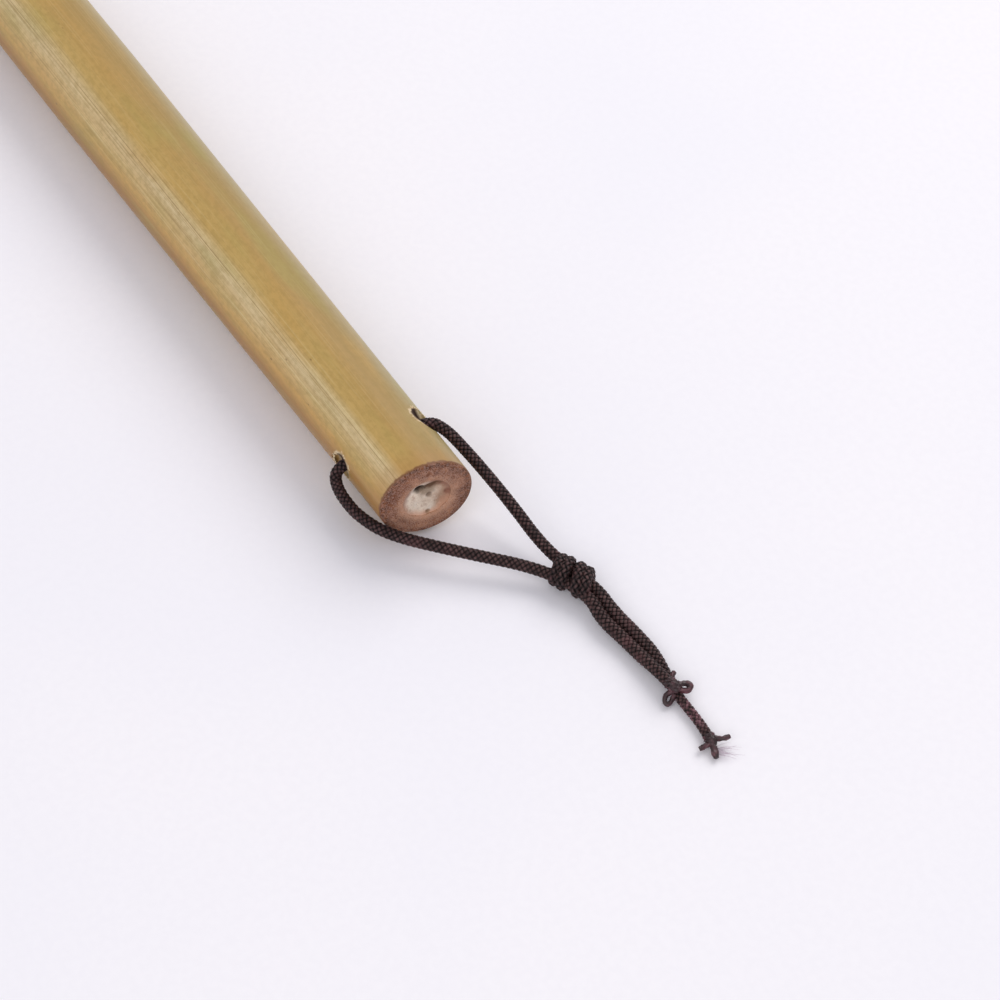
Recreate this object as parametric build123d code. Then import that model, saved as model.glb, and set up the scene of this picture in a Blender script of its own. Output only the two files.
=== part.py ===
"""Calligraphy brush with a bamboo handle, a layered hair tuft and a braided hanging cord.

Frame: +X from the tuft to the cord end of the handle, +Z up, lying level on z = 0.
The origin is under the middle of the brush without its cord. Millimetres throughout.
"""
from build123d import *
import math
import os

# ---- driving dimensions ------------------------------------------------------------------
HANDLE_LENGTH = 215.0      # head rim to the middle of the cut tail face
TUFT_LENGTH = 55.0         # hair that shows in front of the handle
BODY_R = 7.0               # full radius of the culm; also the height of its axis
TAIL_R = 6.18              # radius at the cut tail face
TAPER_LENGTH = 90.0        # the culm narrows over this length towards the tail
TAIL_SLANT = 9.2           # degrees the tail face leans away from square
TAIL_ROUND = 0.35          # softened edge of the tail face
HEAD_ROUND = 0.6           # softened edge of the head rim

SEAT_R = 6.70              # turned-down end that a cap slides over
SEAT_LENGTH = 18.0

BORE_R = 3.2               # natural hollow of the culm
SOCKET_R = 5.25            # bored socket that holds the tuft
SOCKET_DEPTH = 14.0
SEPTUM_RECESS = 0.55       # how far the pale diaphragm sits inside the tail face
SEPTUM_THICK = 4.0

HOLE_FROM_TAIL = 9.55      # cross hole for the cord, drilled parallel to the slanted face
HOLE_RISE = 1.95           # it passes this far above the middle of the culm
HOLE_TILT = 21.0           # degrees it climbs towards +Y
HOLE_R = 1.45
HOLE_MOUTH_R = 2.1         # worn, chipped mouth of the cross hole
HOLE_MOUTH_DEPTH = 0.9

CORD_R = 0.75

# ---- derived positions -------------------------------------------------------------------
SLANT = math.tan(math.radians(TAIL_SLANT))
TAIL_X = (HANDLE_LENGTH + TUFT_LENGTH - (TAIL_R - TAIL_ROUND / 2) * SLANT) / 2
HEAD_X = TAIL_X - HANDLE_LENGTH
AXIS_Z = BODY_R

# Route of each cord: corner points of its straight runs, x counted from the tail face.
RIGHT_ROUTE = [
    (-8.45, 3.20, 10.18), (-7.95, 5.25, 10.97), (-6.32, 6.88, 9.67), (-3.90, 7.90, 7.95),
    (0.30, 8.85, 6.20), (5.60, 9.60, 4.40), (10.80, 9.75, 2.95), (15.70, 10.62, 2.20),
    (20.30, 12.45, 2.10), (24.05, 12.26, 1.78), (29.10, 12.56, 1.25), (34.20, 13.32, 0.88), (38.00, 12.95, 0.77),
    (41.60, 12.15, 0.76), (44.20, 12.00, 0.77), (46.30, 11.60, 0.76),
]
LEFT_ROUTE = [
    (-10.30, -4.40, 7.26), (-10.69, -6.00, 6.64), (-10.62, -7.25, 5.74), (-9.55, -7.65, 4.62),
    (-7.50, -7.73, 4.28), (-4.30, -7.53, 4.15), (0.20, -5.90, 3.85), (6.50, 0.10, 3.08),
    (14.40, 8.15, 2.22), (20.95, 11.00, 2.10),
    (24.75, 10.60, 1.72), (29.35, 10.97, 1.25), (34.00, 11.45, 0.88), (37.70, 11.10, 0.77),
]
KNOT_CENTRE = (17.30, 10.50, 2.20)
KNOT_AXIS = (0.925, 0.380, -0.016)
KNOT_WRAPS = 4
KNOT_PITCH = 1.36
WRAP_SEMI = (1.50, 1.38)   # half width and half height of a wrap's centre line
WRAP_LEAN = 24.0           # degrees the wraps lean over

# Hair layers, as (distance in front of the socket mouth, radius) along each boundary.
COVER_OUTSIDE = [(0, 4.95), (5, 5.35), (14, 6.05), (24, 5.75), (32, 4.90), (38, 3.95)]
COVER_INSIDE = [(0, 3.90), (14, 4.30), (26, 4.25), (38, 3.70)]
BELLY_TIP = [(38, 3.70), (42, 2.95), (46, 2.10)]
BELLY_INSIDE = [(0, 2.60), (18, 2.80), (34, 2.50), (46, 1.85)]
CORE_TIP = [(46, 1.85), (50, 1.10), (53, 0.52), (54.6, 0.20)]
ROOT_DEPTH = 11.5          # hair inside the socket
COVER_ROOT_R = 4.60        # waist of the hair under its binding thread

os.makedirs("parts", exist_ok=True)


def along_x(profile):
    """Revolve a closed profile drawn as (x, radius) about the brush's own axis."""
    face = make_face(profile)
    return Pos(0, 0, AXIS_Z) * revolve(face, Axis.X, 360)


def handle_culm():
    outline = Polyline(
        (HEAD_X, SOCKET_R), (HEAD_X, SEAT_R - HEAD_ROUND), (HEAD_X + HEAD_ROUND, SEAT_R),
        (HEAD_X + SEAT_LENGTH, SEAT_R), (HEAD_X + SEAT_LENGTH + 0.3, BODY_R),
        (TAIL_X - TAPER_LENGTH, BODY_R), (TAIL_X + 2, TAIL_R), (TAIL_X + 2, BORE_R),
        (HEAD_X + SOCKET_DEPTH, BORE_R), (HEAD_X + SOCKET_DEPTH, SOCKET_R), (HEAD_X, SOCKET_R),
    )
    culm = along_x(outline)
    culm -= tail_cutter(0)
    rim = culm.edges().filter_by_position(Axis.X, TAIL_X - 2, TAIL_X + 2).sort_by(SortBy.LENGTH)[-1]
    culm = fillet(rim, TAIL_ROUND)
    rise = math.tan(math.radians(HOLE_TILT))
    drill = Vector(SLANT, 1, rise)
    middle = Vector(TAIL_X - HOLE_FROM_TAIL, 0, AXIS_Z + HOLE_RISE)
    hole = Plane(origin=middle, z_dir=drill) * Cylinder(HOLE_R, 24)
    culm -= hole
    radius = TAIL_R + (BODY_R - TAIL_R) * HOLE_FROM_TAIL / TAPER_LENGTH
    for side in (1, -1):
        a, b, c = 1 + rise ** 2, HOLE_RISE * rise, HOLE_RISE ** 2 - radius ** 2
        y = (-b + side * math.sqrt(b * b - a * c)) / a
        surface = middle + drill * y
        mouth = Plane(origin=surface, z_dir=drill * side) * Pos(
            0, 0, 0.25 - HOLE_MOUTH_DEPTH / 2) * Cone(
            HOLE_R, HOLE_MOUTH_R + 0.4, HOLE_MOUTH_DEPTH + 0.5)
        culm -= mouth
    return culm


def tail_cutter(depth):
    """Half space beyond the slanted tail face, or beyond a parallel face set in by depth."""
    block = Box(30, 40, 40)
    lean = Rot(0, 0, -TAIL_SLANT)
    return Pos(TAIL_X - depth, 0, AXIS_Z) * lean * Pos(15, 0, 0) * block


def tail_septum():
    """Pale diaphragm that closes the hollow, with a narrow gap under the top of the bore."""
    plug = Pos(TAIL_X - 2, 0, AXIS_Z) * Rot(0, 90, 0) * Cylinder(BORE_R, SEPTUM_THICK + 2)
    plug -= tail_cutter(SEPTUM_RECESS)
    pit = Pos(TAIL_X - 1.9, 0.05, AXIS_Z + 2.42) * Rot(0, 90, 0) * extrude(Ellipse(0.36, 1.1), 3)
    return plug - pit


def hair_layer(outside, tip, inside, root_r, root_inner):
    """One sleeve of hair between two boundaries, or a solid one when it has no inside."""
    def at(d, r):
        return (HEAD_X - d, r)

    root = -ROOT_DEPTH
    lines = [Line(at(root, root_r), at(0, outside[0][1]))]
    lines.append(Spline([at(*p) for p in outside]))
    if tip:
        lines.append(Spline([at(*p) for p in tip]))
    end = (tip or outside)[-1]
    if inside:
        lines.append(Line(at(*end), at(*inside[-1])))
        lines.append(Spline([at(*p) for p in reversed(inside)]))
        lines.append(Line(at(*inside[0]), at(root, root_inner)))
        lines.append(Line(at(root, root_inner), at(root, root_r)))
    else:
        lines.append(Line(at(*end), at(end[0] + 0.4, 0)))
        lines.append(Line(at(end[0] + 0.4, 0), at(root, 0)))
        lines.append(Line(at(root, 0), at(root, root_r)))
    return along_x(lines)


def root_thread():
    """Five turns of thread bound round the hair inside the socket."""
    turns, pitch, r = 5, 0.46, 0.25
    waist = COVER_ROOT_R + 0.02
    x0 = HEAD_X + ROOT_DEPTH - 0.9
    outline = [Line((x0, waist), (x0 - turns * pitch, waist))]
    outline.append(Line((x0 - turns * pitch, waist), (x0 - turns * pitch, waist + 0.2)))
    for i in reversed(range(turns)):
        a, b = x0 - (i + 1) * pitch, x0 - i * pitch
        outline.append(ThreePointArc((a, waist + 0.2), ((a + b) / 2, waist + 0.2 + r * 0.8), (b, waist + 0.2)))
    outline.append(Line((x0, waist + 0.2), (x0, waist)))
    band = along_x(outline)
    return band - hair_envelope()


def hair_envelope():
    outline = Polyline((HEAD_X, 0), (HEAD_X, COVER_OUTSIDE[0][1]),
                       (HEAD_X + ROOT_DEPTH, COVER_ROOT_R), (HEAD_X + ROOT_DEPTH, 0), (HEAD_X, 0))
    return along_x(outline)


def root_seal():
    """Rosin cap melted over the cut roots at the bottom of the socket."""
    x1, x0 = HEAD_X + SOCKET_DEPTH - 0.3, HEAD_X + ROOT_DEPTH
    return along_x(Polyline((x0, 0), (x0, COVER_ROOT_R), (x1 - 0.6, COVER_ROOT_R - 0.1),
                            (x1, COVER_ROOT_R - 0.9), (x1, 0), (x0, 0)))


def socket_glue():
    """Thin sleeve of glue in the socket mouth, ending in a small bead round the hair."""
    x_in, x_out = HEAD_X + 7.0, HEAD_X - 0.35
    hair = COVER_OUTSIDE[0][1]
    outline = [Line((x_in, 4.60), (x_in, SOCKET_R)), Line((x_in, SOCKET_R), (HEAD_X, SOCKET_R)),
               ThreePointArc((HEAD_X, SOCKET_R), (HEAD_X - 0.28, 5.17), (x_out, 4.90)),
               Line((x_out, 4.90), (x_in, 4.60))]
    return along_x(outline) - hair_envelope() - along_x(
        Polyline((HEAD_X, 0), (HEAD_X, hair), (HEAD_X - 1, hair + 0.1), (HEAD_X - 1, 0), (HEAD_X, 0)))


def cord_radii(points):
    """Bend radius at each corner: 0.45 of the shorter run over the tangent of half the turn."""
    radii = []
    for a, b, c in zip(points, points[1:], points[2:]):
        u, v = Vector(*b) - Vector(*a), Vector(*c) - Vector(*b)
        half = math.radians(u.get_angle(v)) / 2
        radii.append(0.45 * min(u.length, v.length) / math.tan(half))
    return radii


def cord_tube(name, route):
    points = [(TAIL_X + x, y, z) for x, y, z in route]
    radii = cord_radii(points)
    path = FilletPolyline(*points, radius=radii)
    wire = path.wire() if hasattr(path, "wire") else Wire(path.edges())
    start = Plane(origin=wire @ 0, z_dir=wire % 0)
    tube = sweep(start * Circle(CORD_R), path=wire)
    print(name, "length", round(wire.length, 1), "radii", [round(r, 1) for r in radii],
          "volume ratio", round(tube.volume / (math.pi * CORD_R ** 2 * wire.length), 3))
    return tube


def cord_bight():
    """Straight run of cord inside the cross hole, between the starts of the two routes."""
    a = Vector(*LEFT_ROUTE[0]) + Vector(TAIL_X, 0, 0)
    b = Vector(*RIGHT_ROUTE[0]) + Vector(TAIL_X, 0, 0)
    return Plane(origin=(a + b) / 2, z_dir=b - a) * Cylinder(CORD_R, (b - a).length)


def cord_knot(strands):
    """Four leaning wraps drawn tight round the two strands that pass through them."""
    axis = Vector(*KNOT_AXIS).normalized()
    side = Vector(0, 0, 1).cross(axis).normalized()
    centre = Vector(TAIL_X + KNOT_CENTRE[0], KNOT_CENTRE[1], KNOT_CENTRE[2])
    frame = Plane(origin=centre, x_dir=side, z_dir=axis)
    body = None
    for i in range(KNOT_WRAPS):
        offset = (i - (KNOT_WRAPS - 1) / 2) * KNOT_PITCH
        path = Rot(0, WRAP_LEAN, 0) * Ellipse(*WRAP_SEMI).edge()
        section = Plane(origin=path @ 0, z_dir=path % 0) * Circle(CORD_R)
        wrap = Pos(0, 0, offset) * sweep(section, path=path)
        body = wrap if body is None else body + wrap
    core = extrude(Ellipse(WRAP_SEMI[0] - 0.1, WRAP_SEMI[1] - 0.1), amount=2.1, both=True)
    knot = frame * (body + core)
    for strand in strands:
        knot = knot - strand
    return knot


def cord_end(route, length, flare):
    """Melted, slightly flared end that butts on the last point of a cord."""
    tip = Vector(TAIL_X + route[-1][0], route[-1][1], route[-1][2])
    before = Vector(TAIL_X + route[-2][0], route[-2][1], route[-2][2])
    out = (tip - before).normalized()
    plane = Plane(origin=tip, z_dir=out)
    plug = plane * Pos(0, 0, length / 2) * Cone(CORD_R, flare, length)
    floor = Pos(tip.X, tip.Y, -5) * Box(20, 20, 10)
    return plug - floor


def build():
    right = cord_tube("cord_right", RIGHT_ROUTE)
    left = cord_tube("cord_left", LEFT_ROUTE)
    return {
        "handle_culm": handle_culm(),
        "tail_septum": tail_septum(),
        "tuft_cover": hair_layer(COVER_OUTSIDE, None, COVER_INSIDE, COVER_ROOT_R, 3.70),
        "tuft_belly": hair_layer(COVER_INSIDE, BELLY_TIP, BELLY_INSIDE, 3.70, 2.50),
        "tuft_core": hair_layer(BELLY_INSIDE, CORE_TIP, None, 2.50, 0),
        "root_thread": root_thread(),
        "root_seal": root_seal(),
        "socket_glue": socket_glue(),
        "cord_bight": cord_bight(),
        "cord_right": right,
        "cord_left": left,
        "cord_knot": cord_knot([right, left]),
        "cord_end_long": cord_end(RIGHT_ROUTE, 1.6, 0.95),
        "cord_end_short": cord_end(LEFT_ROUTE, 1.2, 0.88),
    }


for node, shape in build().items():
    solids = shape.solids()
    if len(solids) == 1:
        shape = solids[0]
    box = shape.bounding_box()
    print(node, "solids", len(solids), "volume", round(shape.volume, 2),
          "x", round(box.min.X, 2), round(box.max.X, 2), "y", round(box.min.Y, 2), round(box.max.Y, 2),
          "z", round(box.min.Z, 2), round(box.max.Z, 2), "valid", shape.is_valid)
    shape.label = node
    export_step(shape, f"parts/{node}.step")
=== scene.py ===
"""Looks of a bamboo calligraphy brush: braided cord, knot, frayed ends, hair and materials."""
import math

import bpy
import numpy as np
from mathutils import Matrix, Vector


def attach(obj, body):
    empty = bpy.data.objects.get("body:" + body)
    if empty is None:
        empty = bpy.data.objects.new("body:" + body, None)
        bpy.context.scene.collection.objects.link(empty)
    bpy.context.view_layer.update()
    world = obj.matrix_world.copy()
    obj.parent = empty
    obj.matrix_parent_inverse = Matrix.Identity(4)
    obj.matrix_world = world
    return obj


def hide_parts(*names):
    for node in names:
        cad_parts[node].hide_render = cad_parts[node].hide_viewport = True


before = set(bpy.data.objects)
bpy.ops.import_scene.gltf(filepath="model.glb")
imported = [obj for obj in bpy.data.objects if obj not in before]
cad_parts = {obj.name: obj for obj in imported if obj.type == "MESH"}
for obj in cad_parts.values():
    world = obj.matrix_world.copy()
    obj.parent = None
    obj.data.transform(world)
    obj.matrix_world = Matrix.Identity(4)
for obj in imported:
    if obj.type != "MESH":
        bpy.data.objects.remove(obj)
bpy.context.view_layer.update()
braid_rng = np.random.default_rng(7)

MM = 0.001                       # geometry is in mm; shaders, lights and the table are in metres
SLANT = math.tan(math.radians(9.2))     # the cut leans this much, along X for each mm of Y
TAIL_R = 6.18                    # radius of the cane at the cut
BORE_R = 3.26                    # radius of the natural hollow at the cut
CANE, TUFT = 215.0, 55.0         # lengths
TAIL_ROUND = 0.35                # rounding of the cut's outer edge
TAPER = 0.0089                   # growth of the cane's radius per mm towards the head
HOLE_BACK, HOLE_RISE, HOLE_CLIMB = 9.55, 1.95, 0.3839     # cross hole: place and slope towards +Y
TAIL_X = (CANE + TUFT - (TAIL_R - TAIL_ROUND / 2) * SLANT) / 2     # middle of the cut tail face
HEAD_X = TAIL_X - CANE
AXIS_Z = 7.0                     # height of the cane's axis above the table
CORD_R = 0.75
KNOT_CORD_R = 0.78               # the cord is a little fuller where it is drawn round the knot


# ---- camera ------------------------------------------------------------------------------
AZIMUTH, ELEVATION = 57.68, 50.0                 # degrees
EYE = (TAIL_X + 211.36, -122.86, 297.79)
LENS, SENSOR = 108.76, 36.0


def make_camera():
    """A long lens that looks down on the tail end from beyond it."""
    az, el = math.radians(AZIMUTH), math.radians(ELEVATION)
    back = Vector((math.sin(az) * math.cos(el), -math.cos(az) * math.cos(el), math.sin(el)))
    right = Vector((math.cos(az), math.sin(az), 0))
    up = back.cross(right)
    data = bpy.data.cameras.new("camera")
    data.lens, data.sensor_width, data.clip_start = LENS, SENSOR, 0.01
    cam = bpy.data.objects.new("camera", data)
    bpy.context.collection.objects.link(cam)
    m = Matrix((right, up, back)).transposed().to_4x4()
    m.translation = Vector(EYE) * MM
    cam.matrix_world = m
    bpy.context.scene.camera = cam


make_camera()


# ---- mesh helpers ------------------------------------------------------------------------
def link(obj):
    bpy.context.collection.objects.link(obj)
    return obj


def mesh_object(name, verts, faces, uv, tone):
    """verts in mm (N x 3), quads or tris as an array, uv and tone per vertex."""
    verts = np.asarray(verts, float) * MM
    faces = np.asarray(faces, int)
    me = bpy.data.meshes.new(name)
    n = faces.shape[1]
    me.vertices.add(len(verts))
    me.vertices.foreach_set("co", verts.astype(np.float32).ravel())
    me.loops.add(faces.size)
    me.loops.foreach_set("vertex_index", faces.astype(np.int32).ravel())
    me.polygons.add(len(faces))
    me.polygons.foreach_set("loop_start", np.arange(0, faces.size, n, dtype=np.int32))
    me.update(calc_edges=True)
    layer = me.uv_layers.new(name="UVMap")
    layer.data.foreach_set("uv", np.asarray(uv, np.float32)[faces.ravel()].ravel())
    a = me.attributes.new("tone", "FLOAT", "POINT")
    a.data.foreach_set("value", np.asarray(tone, np.float32))
    me.validate()
    me.polygons.foreach_set("use_smooth", np.ones(len(me.polygons), bool))
    return link(bpy.data.objects.new(name, me))


class Builder:
    """Collects grids of points into one mesh."""

    def __init__(self):
        self.v, self.f, self.uv, self.tone, self.n = [], [], [], [], 0

    def grid(self, pts, uv, tone=0.5, close_u=False, cap=False):
        """pts is rows x columns x 3. Columns go round the section; close_u joins the last row to
        the first, and cap closes the two ends."""
        rows, cols = pts.shape[:2]
        idx = self.n + np.arange(rows * cols).reshape(rows, cols)
        r = np.arange(rows if close_u else rows - 1)
        c = np.arange(cols)
        rr, cc = np.meshgrid(r, c, indexing="ij")
        a, b = idx[rr, cc], idx[rr, (cc + 1) % cols]
        d, e = idx[(rr + 1) % rows, cc], idx[(rr + 1) % rows, (cc + 1) % cols]
        self.f.append(np.stack([a, b, e, d], -1).reshape(-1, 4))
        self.v.append(pts.reshape(-1, 3))
        self.uv.append(uv.reshape(-1, 2))
        self.tone.append(np.broadcast_to(np.asarray(tone, float), (rows, cols)).reshape(-1))
        self.n += rows * cols
        if cap:
            for row in (0, rows - 1):
                centre = pts[row].mean(0)
                self.v.append(centre[None])
                self.uv.append(uv[row].mean(0)[None])
                self.tone.append(np.array([float(np.mean(tone))]))
                ring = idx[row] if row else idx[row][::-1]
                k = len(ring)
                nxt = np.roll(ring, -1)
                mid = np.full(k, self.n)
                self.f.append(np.stack([ring, nxt, mid, mid], -1))
                self.n += 1

    def make(self, name):
        """One mesh object of everything collected so far."""
        faces = np.concatenate(self.f)
        verts, uv = np.concatenate(self.v), np.concatenate(self.uv)
        tone = np.concatenate(self.tone)
        tri = faces[:, 2] == faces[:, 3]
        if tri.any():        # a cap's faces are triangles, so the quads are split to match
            quads, fans = faces[~tri], faces[tri][:, :3]
            faces = np.concatenate([quads[:, [0, 1, 2]], quads[:, [0, 2, 3]], fans])
        return mesh_object(name, verts, faces, uv, tone)


def spline_points(route, name, resolution=48):
    """Points (mm) of the NURBS spline whose control points are the route's points."""
    curve = bpy.data.curves.new(name, "CURVE")
    curve.dimensions = "3D"
    s = curve.splines.new("NURBS")
    s.points.add(len(route) - 1)
    for p, (x, y, z) in zip(s.points, route):
        p.co = (x * MM, y * MM, z * MM, 1)
    s.order_u = 3
    s.use_endpoint_u = True
    s.resolution_u = resolution
    obj = bpy.data.objects.new(name, curve)
    link(obj)
    me = bpy.data.meshes.new_from_object(obj)
    pts = np.array([v.co[:] for v in me.vertices]) / MM
    bpy.data.objects.remove(obj)
    bpy.data.meshes.remove(me)
    return pts


def even(pts, step, closed=False):
    """The same line with points a constant distance apart."""
    if closed:
        pts = np.vstack([pts, pts[:1]])
    s = np.r_[0, np.cumsum(np.linalg.norm(np.diff(pts, axis=0), axis=1))]
    n = max(3, int(round(s[-1] / step)))
    u = np.linspace(0, s[-1], n + 1)
    out = np.stack([np.interp(u, s, pts[:, k]) for k in range(3)], 1)
    return (out[:-1] if closed else out), s[-1]


def unit(v):
    return v / np.maximum(np.linalg.norm(v, axis=-1, keepdims=True), 1e-12)


def frames(pts, closed=False):
    """For each point, the tangent and two side vectors that don't twist along the line."""
    if closed:
        t = unit(np.roll(pts, -1, 0) - np.roll(pts, 1, 0))
    else:
        t = unit(np.gradient(pts, axis=0))
    n = np.zeros_like(t)
    first = np.cross(t[0], (0, 0, 1))
    n[0] = unit(first if np.linalg.norm(first) > 0.1 else np.cross(t[0], (1, 0, 0)))
    for i in range(1, len(pts)):
        v = n[i - 1] - t[i] * (n[i - 1] @ t[i])
        n[i] = v / np.linalg.norm(v)
    if closed:                                   # spread the leftover twist along the loop
        end = n[-1] - t[0] * (n[-1] @ t[0])
        twist = math.atan2(np.cross(n[0], end) @ t[0], n[0] @ end)
        ang = -twist * np.arange(len(pts)) / len(pts)
        b = np.cross(t, n)
        n = n * np.cos(ang)[:, None] + b * np.sin(ang)[:, None]
    return t, n, np.cross(t, n)


def smooth_noise(n, step, rng, scale=1.0):
    """One smooth random value for each of n samples, changing over about step samples."""
    k = max(4, int(n / step) + 3)
    vals = rng.normal(0, scale, k)
    return np.interp(np.linspace(0, k - 1, n), np.arange(k), vals)


# ---- braided cord ------------------------------------------------------------------------
CARRIERS = 6            # strands in each direction
TURN = 2 * CARRIERS     # crossings in one full turn of a strand
LEAD = 4.3              # length of one full turn of a strand
STRAND_W, STRAND_T = 0.235, 0.135     # half width and half thickness of a strand
STRAND_R = 0.515        # distance of the strands from the middle
WEAVE = 0.115           # how far they move out and in as they cross
CORE_R = 0.43           # the straight yarn inside the braid
SIDES = 6               # corners of a strand's section


def braid(name, line, radius=CORD_R, closed=False, steps=4.4, squeeze=None, taper=None):
    """Twelve-strand tubular braid along a line: every strand is its own ribbon of yarn.

    steps is the number of samples from one crossing to the next. squeeze may move the yarn's
    points, and taper gives the thickness along the line. Returns the object and its middle line.
    """
    pts, length = even(line, LEAD / TURN / steps, closed)
    n = len(pts)
    planes = length / (LEAD / TURN)
    if closed:
        planes = TURN * max(1, round(planes / TURN))
    t, a, b = frames(pts, closed)
    u = np.arange(n) / (n if closed else n - 1)
    m = planes * u                                # which crossing plane, counted along the cord
    k = radius / CORD_R
    base, wave = STRAND_R * k, WEAVE * k
    scale = np.ones(n) if taper is None else taper(u)
    builder = Builder()
    phi = np.linspace(0, 2 * np.pi, SIDES, endpoint=False)
    for direction in (1, -1):
        for i in range(CARRIERS):
            jitter = braid_rng.normal(0, 0.02)
            wob = smooth_noise(n, 26, braid_rng, 0.02)
            if closed:
                wob = wob * np.sin(np.pi * u)
            theta = direction * (2 * np.pi * m / TURN) + 2 * np.pi * i / CARRIERS + jitter + wob
            r = (base + direction * wave * np.cos(np.pi * m)) * scale
            radial = a * np.cos(theta)[:, None] + b * np.sin(theta)[:, None]
            mid = pts + radial * r[:, None]
            if closed:
                st = unit(np.roll(mid, -1, 0) - np.roll(mid, 1, 0))
            else:
                st = unit(np.gradient(mid, axis=0))
            across = unit(np.cross(st, radial))
            out = np.cross(across, st)
            uneven = smooth_noise(n, 18, braid_rng, 0.05) * (0 if closed else 1)
            w = STRAND_W * k * scale * (1 + uneven)
            h = STRAND_T * k * scale
            ring = (mid[:, None] + across[:, None] * (np.cos(phi)[None, :, None] * w[:, None, None])
                    + out[:, None] * (np.sin(phi)[None, :, None] * h[:, None, None]))
            if squeeze is not None:
                ring = squeeze(ring)
            uv = np.stack([np.broadcast_to((m * LEAD / TURN)[:, None], (n, SIDES)),
                           np.broadcast_to(phi / (2 * np.pi) + i * 1.7, (n, SIDES))], -1)
            top = 0.5 + 0.5 * direction * np.cos(np.pi * m)      # 1 where it crosses over the others
            # tone is painted shade and highlight: dark in the gaps and where a strand dips under, light
            # where it crosses over and faces out
            height = (0.15 + 0.85 * top)[:, None] * np.clip(0.25 + 0.75 * np.sin(phi), 0, 1)[None]
            builder.grid(ring, uv, tone=height, close_u=closed)
    phi = np.linspace(0, 2 * np.pi, 10, endpoint=False)[None, :, None]
    wide = scale[:, None, None]
    core = (pts[:, None] + a[:, None] * (np.cos(phi) * CORE_R * k * wide)
            + b[:, None] * (np.sin(phi) * CORE_R * k * wide))
    if squeeze is not None:
        core = squeeze(core)
    core = core[::3]
    # tone 0 paints the core in full shade
    builder.grid(core, np.zeros(core.shape[:2] + (2,)), tone=0.0, close_u=closed, cap=not closed)
    return builder.make(name), pts


def tail(points):
    """Points given from the middle of the tail face, moved into the object's frame."""
    return [(TAIL_X + x, y, z) for x, y, z in points]


RIGHT_ROUTE = tail([
    (-8.45, 3.20, 10.18), (-7.95, 5.25, 10.97), (-6.32, 6.88, 9.67), (-3.90, 7.90, 7.95),
    (0.30, 8.85, 6.20), (5.60, 9.60, 4.40), (10.80, 9.95, 2.95), (15.70, 10.95, 2.25),
    (20.30, 12.35, 2.10), (24.05, 12.20, 1.60), (28.20, 12.85, 1.15), (32.20, 13.10, 0.98),
    (35.60, 12.55, 0.84), (38.60, 12.05, 0.77), (41.40, 12.05, 0.76), (44.20, 11.95, 0.77),
    (46.30, 11.60, 0.76),
])
LEFT_ROUTE = tail([
    (-10.30, -4.40, 7.26), (-10.69, -6.00, 6.64), (-10.62, -7.25, 5.74), (-9.55, -7.65, 4.62),
    (-7.50, -7.83, 4.28), (-4.30, -7.68, 4.15), (0.20, -6.00, 3.85), (6.50, 0.20, 3.08),
    (14.40, 8.45, 2.22), (20.95, 10.95, 2.05), (24.20, 10.35, 1.65), (28.40, 11.10, 1.30),
    (31.20, 11.35, 1.35), (34.20, 11.55, 1.80), (37.70, 11.70, 2.15),
])
KNOT_CENTRE = np.array((TAIL_X + 17.30, 10.80, 2.20))
KNOT_AXIS = unit(np.array((0.900, 0.436, -0.016)))


# ---- shader helpers ----------------------------------------------------------------------
def lin(r, g, b):
    """A display colour, 0 to 255, as the linear colour that a shader takes."""
    def one(c):
        c /= 255
        return c / 12.92 if c <= 0.04045 else ((c + 0.055) / 1.055) ** 2.4
    return (one(r), one(g), one(b), 1.0)


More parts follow.
